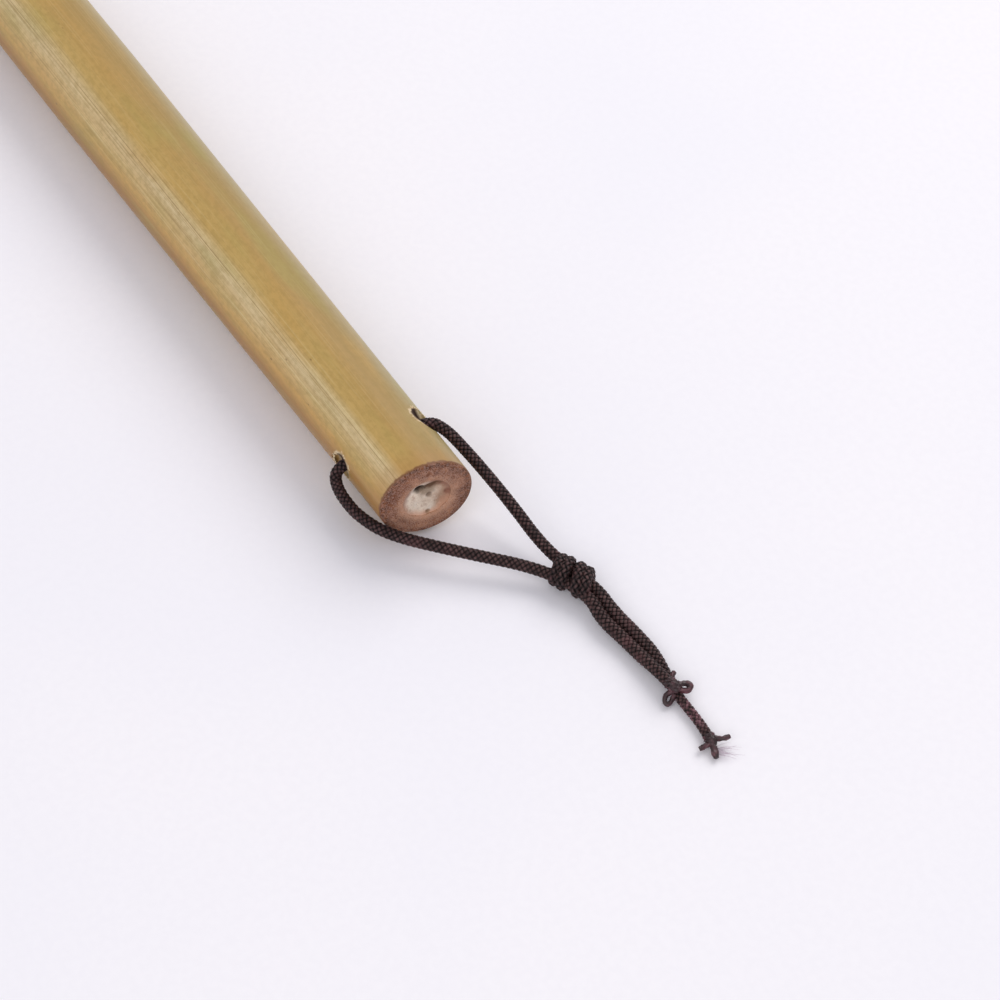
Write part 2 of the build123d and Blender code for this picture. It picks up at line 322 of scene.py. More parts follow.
class Material:
    """A small wrapper that makes procedural node trees readable."""

    def __init__(self, name, **settings):
        self.mat = bpy.data.materials.new(name)
        self.mat.use_nodes = True
        self.tree = self.mat.node_tree
        self.bsdf = self.tree.nodes["Principled BSDF"]
        for key, value in settings.items():
            self.bsdf.inputs[key.replace("_", " ")].default_value = value

    def new(self, kind, values=(), **props):
        node = self.tree.nodes.new(kind)
        for key, value in props.items():
            setattr(node, key, value)
        for socket, value in dict(values).items():
            self.put(node.inputs[socket], value)
        return node

    def put(self, socket, value):
        if isinstance(value, bpy.types.NodeSocket):
            self.tree.links.new(value, socket)
        else:
            socket.default_value = value

    def set(self, name, value):
        self.put(self.bsdf.inputs[name], value)

    def math(self, op, a, b=0.0, c=0.0):
        return self.new("ShaderNodeMath", {0: a, 1: b, 2: c}, operation=op).outputs[0]

    def step(self, x, lo, hi, a=0.0, b=1.0):
        """Smooth step from a, where x is lo, to b, where x is hi."""
        node = self.new("ShaderNodeMapRange", {0: x, 1: lo, 2: hi, 3: a, 4: b},
                        interpolation_type="SMOOTHSTEP")
        return node.outputs[0]

    def mix(self, fac, a, b):
        node = self.new("ShaderNodeMix", data_type="RGBA")
        self.put(node.inputs[0], fac)
        self.put(node.inputs[6], a)
        self.put(node.inputs[7], b)
        return node.outputs[2]

    def place(self):
        """Position in the object's frame, as separate x, y, z sockets in metres."""
        coord = self.new("ShaderNodeTexCoord")
        parts = self.new("ShaderNodeSeparateXYZ", {0: coord.outputs["Object"]})
        return parts.outputs[0], parts.outputs[1], parts.outputs[2]

    def vector(self, x, y, z):
        return self.new("ShaderNodeCombineXYZ", {0: x, 1: y, 2: z}).outputs[0]

    def noise(self, vec, scale=1.0, detail=2.0, rough=0.5):
        node = self.new("ShaderNodeTexNoise", {"Vector": vec, "Scale": scale, "Detail": detail,
                                               "Roughness": rough})
        return node.outputs["Fac"]

    def cells(self, vec, scale):
        """Distance from the nearest of many scattered points."""
        return self.new("ShaderNodeTexVoronoi", {"Vector": vec, "Scale": scale}).outputs["Distance"]

    def length(self, vec):
        return self.new("ShaderNodeVectorMath", {0: vec}, operation="LENGTH").outputs["Value"]

    def ramp(self, fac, stops):
        node = self.new("ShaderNodeValToRGB", {0: fac})
        els = node.color_ramp.elements
        while len(els) < len(stops):
            els.new(0.5)
        for el, (pos, col) in zip(els, sorted(stops)):
            el.position = pos
            el.color = col
        return node.outputs[0]

    def grey(self, fac, lo, hi):
        """Linear from fac 0..1 to lo..hi."""
        return self.math("MULTIPLY_ADD", fac, hi - lo, lo)

    def bump(self, height, distance, strength):
        node = self.new("ShaderNodeBump", {"Height": height, "Distance": distance,
                                           "Strength": strength})
        self.set("Normal", node.outputs[0])

    def attribute(self, name):
        return self.new("ShaderNodeAttribute", attribute_name=name).outputs["Fac"]

    def uv(self):
        coord = self.new("ShaderNodeTexCoord")
        parts = self.new("ShaderNodeSeparateXYZ", {0: coord.outputs["UV"]})
        return parts.outputs[0], parts.outputs[1]


# ---- materials ---------------------------------------------------------------------------
def cord_material():
    """Black-brown yarn, with a painted highlight where it stands high and painted shade, almost black,
    in the gaps.
    """
    m = Material("braided_cord", Sheen_Weight=0.03, Sheen_Roughness=0.35, Specular_IOR_Level=0.26)
    m.set("Sheen Tint", lin(170, 140, 145))
    along, around = m.uv()
    x, y, z = m.place()
    tone = m.attribute("tone")
    patch = m.noise(m.vector(x, y, z), 420.0, 2.0)
    yarn = m.noise(m.vector(m.math("MULTIPLY", along, 0.9), m.math("MULTIPLY", around, 0.6), 5.0),
                   1.0, 1.0)
    lift = m.math("ADD", tone, m.math("MULTIPLY_ADD", yarn, 0.5, -0.25))
    # painted shade, almost black in the gaps, rising to a painted highlight where the yarn stands high
    dark = m.ramp(lift, [(0.0, lin(4, 2, 2)), (0.42, lin(15, 7, 7)), (0.74, lin(50, 30, 29)),
                         (1.0, lin(110, 80, 78))])
    # lighter rubbed patches of yarn, with painted shade and highlight by height as well
    rubbed_and_shaded = m.mix(tone, lin(40, 22, 24), lin(112, 72, 74))
    worn_and_shaded = m.mix(m.step(patch, 0.56, 0.76, 0.0, 0.5), dark, rubbed_and_shaded)
    fibre = m.noise(m.vector(m.math("MULTIPLY", along, 1.6), m.math("MULTIPLY", around, 26.0), tone))
    colour = m.mix(m.grey(fibre, 0.0, 0.45), worn_and_shaded, lin(26, 17, 18))
    # the long tail has faded to mauve between the two frayed ends, with painted shade and highlight by
    # the strands' height there too
    from_tail = m.math("SUBTRACT", x, TAIL_X * MM)
    faded = m.math("MULTIPLY", m.step(from_tail, 0.0388, 0.0412), m.step(from_tail, 0.0450, 0.0432))
    blotch = m.noise(m.vector(x, y, z), 1300.0, 2.0, 0.6)
    bare_and_shaded = m.mix(tone, lin(74, 44, 50), lin(142, 100, 108))
    colour = m.mix(m.math("MULTIPLY", faded, m.step(blotch, 0.46, 0.58, 0.05, 0.85)), colour, bare_and_shaded)
    m.set("Base Color", colour)
    m.set("Roughness", m.grey(fibre, 0.38, 0.60))
    m.bump(fibre, 0.00003, 0.8)
    return m.mat


def melted_material():
    """Fused nylon: mauve-brown, ridged along the yarns and a little shiny."""
    m = Material("melted_cord")
    x, y, z = m.place()
    along, around = m.uv()
    n = m.noise(m.vector(x, y, z), 900.0, 3.0)
    ridges = m.noise(m.vector(m.math("MULTIPLY", along, 0.5), m.math("MULTIPLY", around, 9.0), 0.0))
    colour = m.mix(m.step(n, 0.38, 0.68), lin(52, 30, 33), lin(118, 74, 82))
    colour = m.mix(m.step(ridges, 0.35, 0.65, 0.0, 0.75), colour, lin(38, 21, 24))
    m.set("Base Color", colour)
    m.set("Roughness", m.grey(n, 0.25, 0.5))
    m.bump(m.math("ADD", n, ridges), 0.00006, 0.7)
    return m.mat


def fuzz_material():
    """Pale loose filaments."""
    m = Material("frayed_filament", Roughness=0.4)
    tone = m.attribute("tone")
    m.set("Base Color", m.mix(tone, lin(178, 156, 172), lin(220, 208, 218)))
    return m.mat


def bamboo_material():
    """The cane's skin, its cut face and the raw wood of the cross hole, each where it belongs."""
    m = Material("bamboo", Specular_IOR_Level=0.42)
    x, y, z = m.place()
    zc = m.math("SUBTRACT", z, AXIS_Z * MM)
    yz = m.vector(0.0, y, zc)
    r = m.length(yz)
    theta = m.math("ARCTAN2", y, zc)             # angle round the cane, 0 at the top
    slow = m.noise(m.vector(m.math("MULTIPLY", x, 14.0), m.math("MULTIPLY", y, 90.0),
                            m.math("MULTIPLY", zc, 90.0)), 1.0, 2.0)
    wander = m.math("MULTIPLY_ADD", slow, 0.05, -0.025)
    # t goes once round the cane: 0.25 at -Y, 0.5 at the top, 0.75 at +Y
    t = m.math("ADD", m.math("MULTIPLY_ADD", theta, 1 / (2 * math.pi), 0.5), wander)
    # the pale stops from 0.315 to 0.436 are partly scraped skin and partly a painted highlight
    skin = m.ramp(t, [
        (0.00, lin(176, 148, 84)), (0.10, lin(180, 142, 82)), (0.20, lin(164, 120, 68)),
        (0.262, lin(163, 116, 56)), (0.315, lin(200, 158, 87)), (0.355, lin(209, 178, 121)),
        (0.388, lin(215, 192, 146)), (0.412, lin(207, 182, 130)), (0.436, lin(192, 160, 93)),
        (0.500, lin(178, 143, 79)), (0.555, lin(165, 133, 71)), (0.600, lin(168, 143, 89)),
        (0.650, lin(167, 150, 103)), (0.75, lin(168, 148, 94)), (0.88, lin(180, 148, 84)),
        (1.00, lin(176, 148, 84)),
    ])
    # broad green and orange clouds, drawn out along the grain
    cloud = m.noise(m.vector(m.math("MULTIPLY", x, 52.0), m.math("MULTIPLY", y, 240.0),
                             m.math("MULTIPLY", zc, 240.0)), 1.0, 2.0, 0.5)
    skin = m.mix(m.step(cloud, 0.48, 0.74, 0.0, 0.42), skin, lin(160, 152, 78))
    skin = m.mix(m.step(cloud, 0.48, 0.28, 0.0, 0.36), skin, lin(194, 151, 78))
    mottle = m.noise(m.vector(m.math("MULTIPLY", x, 900.0), m.math("MULTIPLY", y, 1700.0),
                              m.math("MULTIPLY", zc, 1700.0)), 1.0, 3.0, 0.6)
    skin = m.mix(m.step(mottle, 0.38, 0.66, 0.0, 0.30), skin, lin(150, 124, 62))
    # fine fibre lines along the culm, strongest in the pale band
    fine = m.noise(m.vector(m.math("MULTIPLY", x, 22.0), m.math("MULTIPLY", y, 5200.0),
                            m.math("MULTIPLY", zc, 5200.0)), 1.0, 2.0, 0.6)
    wide = m.noise(m.vector(m.math("MULTIPLY", x, 12.0), m.math("MULTIPLY", y, 1500.0),
                            m.math("MULTIPLY", zc, 1500.0)), 1.0, 2.0, 0.5)
    band = m.math("MULTIPLY", m.step(t, 0.300, 0.365), m.step(t, 0.455, 0.410))
    depth = m.grey(band, 0.10, 0.42)
    lines = m.step(fine, 0.46, 0.34)
    skin = m.mix(m.math("MULTIPLY", lines, depth), skin, lin(150, 120, 66))
    light = m.step(fine, 0.55, 0.68)
    skin = m.mix(m.math("MULTIPLY", light, m.grey(band, 0.08, 0.42)), skin, lin(230, 212, 162))
    skin = m.mix(m.step(wide, 0.56, 0.72, 0.0, 0.14), skin, lin(212, 186, 120))
    # a few single dark fibres that run the whole length: degrees from the top, width, strength
    for centre, width, strength in ((-37.5, 0.34, 0.80), (-34.0, 0.24, 0.25), (-41.5, 0.26, 0.28),
                                    (-46.5, 0.26, 0.20), (-51.5, 0.26, 0.20), (-30.2, 0.24, 0.20),
                                    (38.0, 0.30, 0.25), (112.0, 0.35, 0.5), (160.0, 0.3, 0.4)):
        drift = m.noise(m.vector(m.math("MULTIPLY", x, 25.0), centre, 0.0), 1.0, 1.0)
        drift = m.math("MULTIPLY_ADD", drift, 0.03, math.radians(centre) - 0.015)
        away = m.math("ABSOLUTE", m.math("SUBTRACT", theta, drift))
        fade = m.noise(m.vector(m.math("MULTIPLY", x, 70.0), centre, 3.0), 1.0, 2.0)
        mask = m.math("MULTIPLY", m.step(away, math.radians(width) * 1.4, 0.0),
                      m.step(fade, 0.30, 0.55, 0.15, strength))
        skin = m.mix(mask, skin, lin(124, 92, 52))
    # tiny specks
    speck = m.cells(m.vector(m.math("MULTIPLY", x, 0.45), y, zc), 900.0)
    rare = m.noise(m.vector(x, y, zc), 260.0, 1.0)
    skin = m.mix(m.math("MULTIPLY", m.step(speck, 0.14, 0.05), m.step(rare, 0.60, 0.68, 0.0, 0.6)),
                 skin, lin(112, 80, 44))
    # distance in front of (+) or behind (-) the slanted tail face
    gap = m.math("MULTIPLY_ADD", y, -SLANT, m.math("SUBTRACT", x, TAIL_X * MM))
    edge = m.noise(m.vector(x, y, zc), 1500.0, 3.0)
    near = m.math("ADD", gap, m.math("MULTIPLY_ADD", edge, 0.0006, -0.0003))
    skin = m.mix(m.step(gap, -0.0045, -0.0004, 0.0, 0.35), skin, lin(168, 118, 66))
    skin = m.mix(m.step(near, -0.00062, -0.00030, 0.0, 0.85), skin, lin(112, 66, 40))
    # cut face
    face_n = m.noise(m.vector(x, y, zc), 800.0, 4.0, 0.6)
    side = m.math("MULTIPLY_ADD", y, 80.0, 0.5)                      # 0 at -Y, 1 at +Y
    low = m.math("MULTIPLY_ADD", zc, -80.0, 0.5)                     # 0 at the top, 1 at the bottom
    ring = m.mix(m.step(face_n, 0.35, 0.68), lin(108, 64, 44), lin(168, 118, 90))
    burnt = m.math("MULTIPLY", m.step(side, 0.48, 0.10), m.step(low, 0.80, 0.25, 0.0, 0.85))
    ring = m.mix(burnt, ring, lin(108, 54, 22))
    ring = m.mix(m.step(low, 0.62, 1.0, 0.0, 0.6), ring, lin(176, 122, 88))
    inner = m.math("MULTIPLY", m.step(r, 0.0046, 0.0033), m.step(low, 0.30, 0.75, 0.35, 0.85))
    ring = m.mix(inner, ring, lin(206, 156, 124))
    rim = m.math("ADD", r, m.math("MULTIPLY_ADD", edge, 0.0008, -0.0004))
    rim = m.step(rim, 0.0049, 0.0058, 0.0, 0.92)
    ring = m.mix(rim, ring, m.mix(m.step(edge, 0.4, 0.6), lin(82, 42, 22), lin(132, 80, 50)))
    pore_at = m.cells(m.vector(m.math("MULTIPLY", x, 0.25), y, zc), 3300.0)
    pores = m.math("MULTIPLY", m.step(pore_at, 0.34, 0.12), m.step(r, 0.0030, 0.0050, 0.30, 0.70))
    ring = m.mix(pores, ring, lin(84, 52, 42))
    halo = m.math("MULTIPLY", m.step(pore_at, 0.34, 0.46), m.step(pore_at, 0.66, 0.52, 0.0, 0.30))
    ring = m.mix(halo, ring, lin(206, 176, 162))
    cut = m.step(gap, -0.00024, -0.00006)
    # cross hole: raw pale mouth, with painted shade inside
    hx = m.math("SUBTRACT", x, (TAIL_X - HOLE_BACK) * MM)
    hx = m.math("SUBTRACT", hx, m.math("MULTIPLY", y, SLANT))
    hz = m.math("MULTIPLY", m.math("SUBTRACT", m.math("SUBTRACT", zc, HOLE_RISE * MM),
                                   m.math("MULTIPLY", y, HOLE_CLIMB)), math.cos(math.atan(HOLE_CLIMB)))
    d = m.length(m.vector(hx, hz, 0.0))
    ragged = m.math("ADD", d, m.math("MULTIPLY_ADD", edge, 0.0012, -0.0006))
    beside = m.step(r, 0.0046, 0.0052)
    mouth = m.math("MULTIPLY", beside, m.step(ragged, 0.00218, 0.00184))
    raw = m.mix(m.step(face_n, 0.35, 0.65), lin(228, 208, 172), lin(188, 154, 108))
    # painted shade down inside the hole
    raw = m.mix(m.step(d, 0.00200, 0.00165), raw, lin(58, 35, 22))
    skin = m.mix(mouth, skin, raw)
    body = m.mix(cut, skin, ring)
    # painted shade on the walls of the bore and the hole, behind the cut face
    inside = m.math("MULTIPLY", m.step(r, 0.0056, 0.0050), m.step(gap, -0.0003, -0.0008))
    body = m.mix(inside, body, lin(74, 50, 34))
    m.set("Base Color", body)
    matt = m.math("MAXIMUM", cut, mouth)
    gloss = m.math("MULTIPLY_ADD", wide, 0.14, 0.34)
    m.set("Roughness", m.math("ADD", gloss, m.math("MULTIPLY", matt, 0.42)))
    face_h = m.math("SUBTRACT", m.math("MULTIPLY", face_n, 1.4), m.math("MULTIPLY", pores, 1.2))
    skin_h = m.math("ADD", m.math("MULTIPLY", fine, 0.35), m.math("MULTIPLY", wide, 0.5))
    height = m.math("ADD", m.math("MULTIPLY", face_h, matt),
                    m.math("MULTIPLY", skin_h, m.math("SUBTRACT", 1.0, matt)))
    m.bump(height, 0.00006, 0.55)
    return m.mat


def pith_material():
    """The pale, matt diaphragm in the bore, browner at its wall, with painted shade in its hollows and
    at the top of its wall and painted light at the bottom of its wall.
    """
    m = Material("pith", Roughness=0.85)
    x, y, z = m.place()
    zc = m.math("SUBTRACT", z, AXIS_Z * MM)
    n = m.noise(m.vector(x, y, zc), 1100.0, 4.0, 0.65)
    big = m.noise(m.vector(x, y, zc), 380.0, 3.0, 0.5)
    side = m.math("ADD", m.math("MULTIPLY_ADD", y, 150.0, 0.42), m.math("MULTIPLY_ADD", big, 0.9, -0.45))
    colour = m.mix(m.step(side, 0.30, 0.85), lin(240, 222, 202), lin(178, 142, 116))
    colour = m.mix(m.step(n, 0.52, 0.70, 0.0, 0.50), colour, lin(168, 128, 104))
    colour = m.mix(m.step(n, 0.45, 0.28, 0.0, 0.5), colour, lin(248, 238, 226))
    r = m.length(m.vector(0.0, y, zc))
    low = m.math("MULTIPLY_ADD", zc, -90.0, 0.45)
    wall = m.math("ADD", r, m.math("MULTIPLY_ADD", big, 0.0014, -0.0007))
    wall = m.step(wall, 0.0021, 0.0031, 0.0, 0.80)
    # the wall band is browner, with painted shade at its top and painted light at its bottom
    colour = m.mix(wall, colour, m.mix(m.step(low, 0.3, 0.8), lin(150, 104, 84), lin(226, 172, 140)))
    # painted shade round the gap under the top of the bore and in the pit beside it, and a few dark
    # spots
    shade_and_spots = [      # middle y and z, half width and half height, colour, strength
        # the first three rows are painted shade in the gap and the pit; the rest are dark spots
        (0.25, 1.10, 1.30, 1.10, (140, 112, 84), 0.70),
        (0.95, 1.85, 1.25, 0.62, (96, 64, 42), 0.90),
        (-0.70, 1.65, 0.80, 0.80, (50, 34, 20), 0.95),
        (0.60, -0.10, 0.42, 0.50, (112, 84, 62), 0.75),
        (0.15, -2.85, 0.32, 0.40, (124, 98, 70), 0.70),
        (2.80, -0.10, 0.55, 0.55, (136, 84, 66), 0.60),
    ]
    for cy, cz, ry, rz, shade, strength in shade_and_spots:
        spot = m.vector(m.math("MULTIPLY_ADD", y, 1 / (ry * MM), -cy / ry),
                        m.math("MULTIPLY_ADD", zc, 1 / (rz * MM), -cz / rz), 0.0)
        far = m.math("ADD", m.length(spot), m.math("MULTIPLY_ADD", n, 1.2, -0.6))
        colour = m.mix(m.step(far, 1.30, 0.45, 0.0, strength), colour, lin(*shade))
    # painted shade where the diaphragm lies deep behind the cut face
    deep = m.math("MULTIPLY_ADD", y, -SLANT, m.math("SUBTRACT", x, TAIL_X * MM))
    colour = m.mix(m.step(deep, -0.00070, -0.00125), colour, lin(62, 40, 28))
    m.set("Base Color", colour)
    m.bump(m.math("ADD", n, big), 0.00022, 0.8)
    return m.mat


def hair_material(name, root, tip, dark, x_root, x_tip):
    """Hair whose colour runs from root to tip; tone varies single hairs."""
    m = Material(name, Roughness=0.45, Sheen_Weight=0.2, Specular_IOR_Level=0.35)
    x, y, z = m.place()
    tone = m.attribute("tone")
    streak = m.noise(m.vector(m.math("MULTIPLY", x, 30.0), m.math("MULTIPLY", y, 4200.0),
                              m.math("MULTIPLY", z, 4200.0)), 1.0, 2.0)
    fac = m.math("ADD", x, m.math("MULTIPLY_ADD", streak, 0.008, -0.004))
    fac = m.step(fac, x_root * MM, x_tip * MM)
    colour = m.mix(fac, root, tip)
    colour = m.mix(m.math("MULTIPLY", m.step(streak, 0.5, 0.3), 0.5), colour, dark)
    colour = m.mix(m.grey(tone, 0.0, 0.35), colour, dark)
    m.set("Base Color", colour)
    m.bump(streak, 0.00008, 0.6)
    return m.mat


def thread_material():
    """Waxed undyed thread."""
    m = Material("thread", Roughness=0.7)
    x, y, z = m.place()
    n = m.noise(m.vector(m.math("MULTIPLY", x, 4.0), y, z), 2600.0, 3.0)
    m.set("Base Color", m.mix(n, lin(178, 164, 138), lin(220, 208, 184)))
    m.bump(n, 0.0001, 0.7)
    return m.mat


def resin_material(name, dark, light, rough):
    """Rosin or glue: clear-coated and slightly cloudy."""
    m = Material(name, Coat_Weight=0.3, Coat_Roughness=0.15)
    x, y, z = m.place()
    n = m.noise(m.vector(x, y, z), 700.0, 3.0)
    m.set("Base Color", m.mix(n, dark, light))
    m.set("Roughness", m.grey(n, rough - 0.06, rough + 0.12))
    m.bump(n, 0.0001, 0.4)
    return m.mat


def floor_material():
    """Plain white paper with a faint tooth."""
    m = Material("paper_floor", Roughness=0.9, Specular_IOR_Level=0.2)
    x, y, z = m.place()
    n = m.noise(m.vector(x, y, z), 900.0, 3.0)
    big = m.noise(m.vector(x, y, z), 12.0, 2.0)
    colour = m.mix(m.step(n, 0.3, 0.7, 0.0, 0.3), lin(248, 246, 250), lin(242, 240, 245))
    m.set("Base Color", m.mix(m.step(big, 0.35, 0.65, 0.0, 0.4), colour, lin(240, 240, 248)))
    m.bump(n, 0.00003, 0.25)
    return m.mat


CORD = cord_material()
MELTED = melted_material()
FUZZ = fuzz_material()
BAMBOO = bamboo_material()
PITH = pith_material()


def wear(obj, material, body="root"):
    """Give a new piece its material and its body."""
    obj.data.materials.clear()
    obj.data.materials.append(material)
    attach(obj, body)


def paint(node, material):
    """Give a CAD node's own mesh its material."""
    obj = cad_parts[node]
    if not obj.material_slots:
        obj.data.materials.append(material)
    for slot in obj.material_slots:
        slot.material = material


# ---- cords -------------------------------------------------------------------------------
LOWEST = 0.012          # lowest that any yarn lies above the table


def on_floor(ring):
    """Yarn that would dip under the table is pressed flat against it."""
    ring[..., 2] = np.maximum(ring[..., 2], LOWEST)
    return ring


def right_size(u):
    """Fuller where the tails lie side by side, drawn thin beyond the short end."""
    return np.interp(u, [0, 0.56, 0.62, 0.74, 0.80, 0.86, 0.94, 1],
                     [1.07, 1.07, 1.2, 1.2, 1.04, 0.88, 0.84, 0.92])


def left_size(u):
    """Fuller beside the other tail, and drawn in again at the short end."""
    return np.interp(u, [0, 0.68, 0.74, 0.90, 0.96, 1], [1.07, 1.07, 1.2, 1.16, 1.02, 1])


right_line = spline_points(RIGHT_ROUTE, "right_route")
left_line = spline_points(LEFT_ROUTE, "left_route")
cord_right, right_pts = braid("braid_right", right_line, squeeze=on_floor, taper=right_size)
cord_left, left_pts = braid("braid_left", left_line, squeeze=on_floor, taper=left_size)
wear(cord_right, CORD)
wear(cord_left, CORD)
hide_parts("cord_right")
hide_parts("cord_left")


MIDDLE = tuple((a + b) / 2 for a, b in zip(LEFT_ROUTE[0], RIGHT_ROUTE[0]))
bight_line = spline_points([LEFT_ROUTE[0], MIDDLE, RIGHT_ROUTE[0]], "bight_route")
bight, _ = braid("braid_in_hole", bight_line)
wear(bight, CORD)
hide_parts("cord_bight")


# ---- knot --------------------------------------------------------------------------------
def knot_wraps():
    """Two lobes of doubled cord drawn tight round the standing strands."""
    side = unit(np.cross((0, 0, 1), KNOT_AXIS))
    up = np.cross(KNOT_AXIS, side)
    wraps = [   # place along the knot, half width, half height, lean
        (-2.20, 1.46, 1.34, -0.16), (-1.12, 1.62, 1.44, -0.24),
        (0.80, 1.66, 1.42, -0.42), (2.00, 1.54, 1.30, -0.36),
    ]
    phi = np.linspace(0, 2 * np.pi, 240, endpoint=False)
    made = []
    for i, (offset, wide, high, lean) in enumerate(wraps):
        c, s = np.cos(phi), np.sin(phi)
        bulge = 1 + 0.05 * np.cos(2 * phi + i)
        line = (KNOT_CENTRE + side * (c * wide * bulge)[:, None] + up * (s * high)[:, None]
                + KNOT_AXIS * (offset + lean * c * wide + 0.12 * np.sin(phi + i))[:, None])
        obj, _ = braid(f"knot_wrap_{i + 1}", line, radius=KNOT_CORD_R, closed=True, steps=3.2,
                       squeeze=on_floor)
        made.append(obj)
    return made


knots = knot_wraps()
for wrap in knots:
    wear(wrap, CORD)
    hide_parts("cord_knot")


# ---- frayed and melted ends --------------------------------------------------------------
def stub(builder, points, radii, ribs, seed, sides=14, twist=1.5):
    """A short melted bundle of yarn: a ribbed tube through given points."""
    rng = np.random.default_rng(seed)
    line, length = even(spline_points(tail(points), "stub", 24), 0.05)
    n = len(line)
    t, a, b = frames(line)
    u = np.linspace(0, 1, n)
    radius = np.interp(u, np.linspace(0, 1, len(radii)), radii)
    radius = radius * (1 + smooth_noise(n, 6, rng, 0.06))
    phi = np.linspace(0, 2 * np.pi, sides, endpoint=False)
    rib = 1 + 0.16 * np.cos(ribs * (phi[None] + twist * u[:, None] * 2))
    rr = radius[:, None] * rib
    ring = (line[:, None] + a[:, None] * (np.cos(phi)[None] * rr)[..., None]
            + b[:, None] * (np.sin(phi)[None] * rr)[..., None])
    uv = np.stack([np.broadcast_to((u * length)[:, None], rr.shape),
                   np.broadcast_to(phi / (2 * np.pi), rr.shape)], -1)
    builder.grid(on_floor(ring), uv, tone=float(rng.uniform()), cap=True)


def end_short():
    """Short tail: a squashed melted end with a curled strand on each side of its neighbour."""
    b = Builder()
    stub(b, [(36.9, 11.68, 2.10), (37.5, 11.78, 2.12), (38.1, 11.95, 2.00), (38.7, 12.05, 1.70)],
         (0.70, 0.80, 0.72, 0.40), sides=20, ribs=7, seed=1)
    stub(b, [(37.9, 11.8, 1.95), (38.05, 12.4, 2.05), (37.95, 12.95, 1.90)],
         (0.46, 0.40, 0.32), ribs=4, seed=2)
    stub(b, [(36.55, 12.25, 1.60), (36.25, 12.8, 1.85), (36.05, 13.25, 1.90)],
         (0.30, 0.32, 0.30), ribs=4, seed=3)
    stub(b, [(38.1, 12.4, 1.80), (37.95, 13.0, 1.85), (38.2, 13.65, 1.70), (38.65, 13.95, 1.50),
             (38.95, 13.4, 1.30), (38.7, 12.85, 1.30), (38.3, 12.35, 1.50)],
         (0.34, 0.29, 0.38, 0.44, 0.38, 0.32, 0.32), ribs=4, seed=4)
    stub(b, [(38.2, 11.6, 1.65), (37.95, 10.95, 1.35), (38.15, 10.35, 0.90), (38.65, 10.15, 0.60),
             (38.98, 10.55, 0.55), (38.80, 11.10, 0.90), (38.5, 11.6, 1.30)],
         (0.36, 0.30, 0.28, 0.32, 0.28, 0.27, 0.30), ribs=4, seed=5)
    return b.make("melted_end_short")


def end_long():
    """Long tail: its yarns have fused into three spread stubs."""
    b = Builder()
    stub(b, [(45.5, 11.75, 0.78), (46.1, 11.65, 0.80), (46.7, 11.60, 0.85), (47.1, 11.55, 0.75)],
         (0.66, 0.74, 0.66, 0.25), sides=20, ribs=6, seed=6)
    stub(b, [(46.1, 11.9, 0.9), (46.75, 12.5, 1.1), (47.1, 13.1, 1.2), (47.15, 13.75, 1.2)],
         (0.42, 0.33, 0.31, 0.27), ribs=4, seed=7)
    stub(b, [(46.5, 11.4, 0.8), (46.5, 10.6, 0.7), (46.4, 9.85, 0.55)],
         (0.45, 0.34, 0.30), ribs=4, seed=8)
    stub(b, [(46.6, 11.5, 0.8), (47.3, 11.35, 0.7), (47.95, 11.05, 0.6), (48.55, 10.85, 0.48)],
         (0.46, 0.46, 0.42, 0.30), ribs=4, twist=0.8, seed=9)
    return b.make("melted_end_long")


def fuzz():
    """Loose filaments that have escaped from the cord."""
    b = Builder()
    rng = np.random.default_rng(21)

    def hair(points, radius):
        line, _ = even(spline_points(tail(points), "hair", 12), 0.12)
        t, a, c = frames(line)
        phi = np.linspace(0, 2 * np.pi, 4, endpoint=False)
        w = radius * np.interp(np.linspace(0, 1, len(line)), [0, 0.7, 1], [1, 0.9, 0.3])
        ring = (line[:, None] + a[:, None] * (np.cos(phi)[None] * w[:, None])[..., None]
                + c[:, None] * (np.sin(phi)[None] * w[:, None])[..., None])
        b.grid(on_floor(ring), np.zeros(ring.shape[:2] + (2,)), tone=float(rng.uniform()))

    for _ in range(26):         # the spray beside the long end
        s = rng.uniform(0, 1)
        start = np.array((47.7 + rng.normal(0, 0.25), 11.3 + rng.normal(0, 0.2),
                          0.4 + rng.uniform(0, 0.3)))
        reach = rng.uniform(1.2, 3.4)
        ang = math.radians(58 + rng.normal(0, 13))
        end = start + reach * np.array((math.cos(ang), math.sin(ang), 0))
        end[2] = rng.uniform(0.05, 0.7)
        mid = (start + end) / 2 + np.array((rng.normal(0, 0.25), rng.normal(0, 0.25),
                                            rng.uniform(0.05, 0.5)))
        hair([tuple(start), tuple(mid), tuple(end)], 0.016 + 0.012 * s)
    for _ in range(14):         # a few curls at the short end
        ang = rng.uniform(0, 2 * math.pi)
        start = np.array((38.4 + rng.normal(0, 0.35), 12.1 + rng.normal(0, 0.8), 0.9))
        end = start + np.array((math.cos(ang) * 0.9, math.sin(ang) * 1.1, rng.uniform(-0.5, 0.4)))
        mid = (start + end) / 2 + np.array((0.1, 0.1, 0.35))
        hair([tuple(start), tuple(mid), tuple(end)], 0.014)
    return b.make("loose_filaments")


short_end, long_end, filaments = end_short(), end_long(), fuzz()
wear(short_end, MELTED)
wear(long_end, MELTED)
wear(filaments, FUZZ)
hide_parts("cord_end_short")
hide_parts("cord_end_long")


# ---- handle ------------------------------------------------------------------------------
paint("handle_culm", BAMBOO)
SEPTUM_BACK = 4.0       # how far the diaphragm's back lies inside the cane


